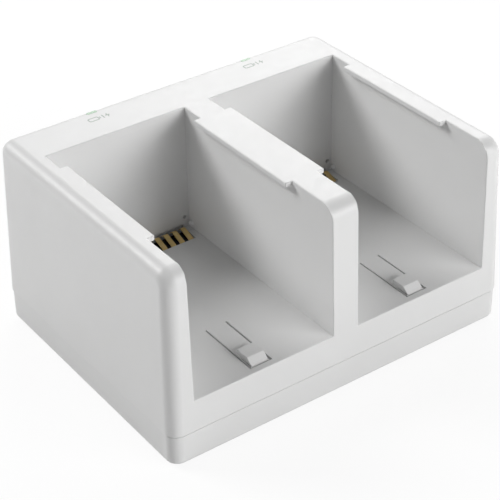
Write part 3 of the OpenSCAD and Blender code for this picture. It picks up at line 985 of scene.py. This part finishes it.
class CHARGER_OT_marks(bpy.types.Operator):
    """Print a plain battery sign and a bolt behind each bay"""
    bl_idname = "charger.marks"
    bl_label = "Print Marks"

    def plate(self, name, low, high):
        """A thin plate on the top, between two corners in X and Y"""
        return box(name, (*low, Z_TOP - MARK_SINK), (*high, Z_TOP + MARK_RISE))

    def battery(self, name, x, y, line):
        """The outline of a battery and the knob at its end"""
        dx, dy = BATTERY_W / 2, BATTERY_D / 2
        ring = self.plate(name, (x - dx, y - dy), (x + dx, y + dy))
        round_edges(ring, BATTERY_ROUND, 5, upright)
        core = box("core", (x - dx + line, y - dy + line, Z_TOP - OVER),
                   (x + dx - line, y + dy - line, Z_TOP + OVER))
        round_edges(core, BATTERY_ROUND - line * 0.8, 5, upright)
        combine(ring, [core])
        knob = self.plate("knob", (x + KNOB_X[0], y - KNOB_HALF_D),
                          (x + KNOB_X[1], y + KNOB_HALF_D))
        return ring, knob

    def bolt(self, name, x, y):
        """The sign of a bolt, as thick as the plates"""
        clear_selection()
        bpy.ops.mesh.primitive_circle_add(
            vertices=len(BOLT_OUTLINE), radius=MM, fill_type="NGON", location=(0, 0, 0))
        sign = settle(name)
        for vertex, (dx, dy) in zip(sign.data.vertices, BOLT_OUTLINE):
            vertex.co = Vector((x + dx, y + dy, Z_TOP - MARK_SINK)) * MM
        pick(sign, "FACE", lambda face: True)
        bpy.ops.mesh.extrude_region_move(
            TRANSFORM_OT_translate={"value": (0, 0, (MARK_SINK + MARK_RISE) * MM)})
        bpy.ops.mesh.select_all(action="SELECT")
        bpy.ops.mesh.normals_make_consistent(inside=False)
        bpy.ops.object.mode_set(mode="OBJECT")
        return sign

    def execute(self, context):
        line = context.scene.charger_shape.mark_line / MM
        for side, cx in SIDES.items():
            x, y = cx + MARK_DX, MARK_Y
            ring, knob = self.battery(f"{side}_battery_sign", x, y, line)
            dash = self.plate("dash", (x + DASH_DX, y - DASH_HALF_D),
                              (x + DASH_DX + line, y + DASH_HALF_D))
            bolt = self.bolt(f"{side}_bolt_sign", x + BOLT_DX, y)
            take(ring)
            knob.select_set(True)
            dash.select_set(True)
            bpy.ops.object.join()
            for sign in (ring, bolt):
                dress(sign, "station", finish("print_ink"))
        return {"FINISHED"}


class CHARGER_OT_electrics(bpy.types.Operator):
    """Finish the board, its parts, the power inlet and the screws"""
    bl_idname = "charger.electrics"
    bl_label = "Finish Electrics"

    def execute(self, context):
        repaint("circuit_board", finish("board_green"))
        for side in SIDES:
            repaint(f"{side}_charge_controller", finish("chip_black"))
            repaint(f"{side}_power_coil", finish("ferrite_grey"))
            repaint(f"{side}_capacitor", finish("can_aluminium"))
        repaint("inlet_shell", finish("inlet_steel"))
        repaint("inlet_tongue", finish("comb_black"))
        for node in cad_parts:
            if "_screw_" in node:
                repaint(node, finish("screw_steel"))
        return {"FINISHED"}


class CHARGER_OT_feet(bpy.types.Operator):
    """Model the four rubber feet"""
    bl_idname = "charger.feet"
    bl_label = "Model Feet"

    def execute(self, context):
        first = rod("foot_pad", (0, 0, 0), FOOT_D / 2, Z_BASE + SEAT_DEPTH, vertices=64)
        round_edges(first, FOOT_ROUND, 4, lambda edge: middle(edge).z < SNAP)
        smooth(first)
        for i, place in enumerate(FEET):
            pad = copy_to(first, f"foot_pad_{i + 1}", (*place, 0))
            dress(pad, "station", finish("foot_black"), [f"foot_{i + 1}"])
        bpy.data.objects.remove(first)
        return {"FINISHED"}


class CHARGER_OT_stage(bpy.types.Operator):
    """Set up the floor, the lamps and the camera"""
    bl_idname = "charger.stage"
    bl_label = "Set Up Stage"

    def floor_finish(self, colour):
        """A matt floor that shines on its own for the camera, so that it looks white"""
        material, nodes, links, shader, place = material_base("floor_white")
        shader.inputs["Roughness"].default_value = 0.9
        shader.inputs["Specular IOR Level"].default_value = 0.1
        path = nodes.new("ShaderNodeLightPath")
        seen = two_tone(nodes, links, path.outputs["Is Camera Ray"], (FLOOR_GREY,) * 3, colour)
        links.new(seen, shader.inputs["Base Color"])
        glow = nodes.new("ShaderNodeEmission")
        glow.inputs["Color"].default_value = (1, 1, 1, 1)
        share = nodes.new("ShaderNodeMath")
        share.operation = "MULTIPLY"
        share.inputs[1].default_value = FLOOR_GLOW
        links.new(path.outputs["Is Camera Ray"], share.inputs[0])
        blend = nodes.new("ShaderNodeMixShader")
        links.new(share.outputs["Value"], blend.inputs["Fac"])
        links.new(shader.outputs["BSDF"], blend.inputs[1])
        links.new(glow.outputs["Emission"], blend.inputs[2])
        links.new(blend.outputs["Shader"], nodes["Material Output"].inputs["Surface"])
        return material

    def floor(self, colour):
        """The floor plane with its finish"""
        clear_selection()
        bpy.ops.mesh.primitive_plane_add(size=FLOOR_SIZE, location=(0, 0, 0))
        floor = settle("floor")
        floor.data.materials.append(self.floor_finish(colour))

    def lamp(self, name, place, size, power):
        """A soft lamp that points at the object's foot"""
        clear_selection()
        bpy.ops.object.light_add(type="AREA", location=place)
        lamp = bpy.context.object
        lamp.name = name
        aim = Vector(LAMP_AIM) - Vector(place)
        lamp.rotation_euler = aim.to_track_quat("-Z", "Y").to_euler()
        lamp.data.shape = "RECTANGLE"
        lamp.data.size, lamp.data.size_y = size
        lamp.data.energy = power

    def studio(self, scene, light):
        """A white world for the camera, which lights the object only faintly"""
        world = bpy.data.worlds.new("studio")
        scene.world = world
        world.use_nodes = True
        nodes, links = world.node_tree.nodes, world.node_tree.links
        sky = nodes["Background"]
        sky.inputs["Color"].default_value = (1, 1, 1, 1)
        path = nodes.new("ShaderNodeLightPath")
        strength = nodes.new("ShaderNodeMix")
        strength.inputs["A"].default_value = light
        strength.inputs["B"].default_value = 1.0
        links.new(path.outputs["Is Camera Ray"], strength.inputs["Factor"])
        links.new(strength.outputs["Result"], sky.inputs["Strength"])

    def camera(self, scene, lens):
        """The camera at the photograph's viewing angle"""
        bpy.ops.object.camera_add(location=Vector(CAMERA_PLACE) * MM)
        camera = bpy.context.object
        turn = Vector(CAMERA_LOOK).to_track_quat("-Z", "Y").to_matrix().to_4x4()
        roll = Matrix.Rotation(math.radians(CAMERA_ROLL), 4, "Z")
        camera.rotation_euler = (turn @ roll).to_euler()
        camera.data.lens = lens
        camera.data.sensor_width = 36
        camera.data.clip_start = 0.01
        scene.camera = camera

    def execute(self, context):
        stage = context.scene.charger_stage
        self.floor(stage.floor)
        powers = {"rear_left": stage.rear_left_power, "rear_right": stage.rear_right_power,
                  "front": stage.front_power}
        for name, (place, size) in LAMPS.items():
            self.lamp(f"{name}_lamp", place, size, powers[name])
        self.studio(context.scene, stage.sky)
        self.camera(context.scene, stage.lens)
        context.scene.view_settings.view_transform = "Standard"
        return {"FINISHED"}


class CHARGER_PT_panel(bpy.types.Panel):
    """Lists the steps and settings of the charging station"""
    bl_idname = "CHARGER_PT_panel"
    bl_label = "Charging Station"
    bl_space_type = "VIEW_3D"
    bl_region_type = "UI"
    bl_category = "Charger"

    def draw(self, context):
        for name in GROUPS:
            group = getattr(context.scene, name)
            column = self.layout.column(align=True)
            for key in group.__annotations__:
                column.prop(group, key)
        for operator in OPERATORS:
            self.layout.operator(operator.bl_idname)


OPERATORS = (
    CHARGER_OT_upper_housing,
    CHARGER_OT_base_cover,
    CHARGER_OT_latch_tongues,
    CHARGER_OT_contacts,
    CHARGER_OT_light_windows,
    CHARGER_OT_marks,
    CHARGER_OT_electrics,
    CHARGER_OT_feet,
    CHARGER_OT_stage,
)
GROUPS = {
    "charger_shape": ChargerShape,
    "charger_finish": ChargerFinish,
    "charger_stage": ChargerStage,
}


def register():
    for group in GROUPS.values():
        bpy.utils.register_class(group)
    for key, group in GROUPS.items():
        setattr(bpy.types.Scene, key, PointerProperty(type=group))
    for item in (*OPERATORS, CHARGER_PT_panel):
        bpy.utils.register_class(item)


def unregister():
    for item in reversed((*OPERATORS, CHARGER_PT_panel)):
        bpy.utils.unregister_class(item)
    for key in GROUPS:
        delattr(bpy.types.Scene, key)
    for group in reversed(GROUPS.values()):
        bpy.utils.unregister_class(group)


def main():
    """Builds the object and its stage"""
    register()
    bpy.ops.charger.upper_housing()
    bpy.ops.charger.base_cover()
    bpy.ops.charger.latch_tongues()
    bpy.ops.charger.contacts()
    bpy.ops.charger.light_windows()
    bpy.ops.charger.marks()
    bpy.ops.charger.electrics()
    bpy.ops.charger.feet()
    bpy.ops.charger.stage()


if __name__ == "__main__":
    main()
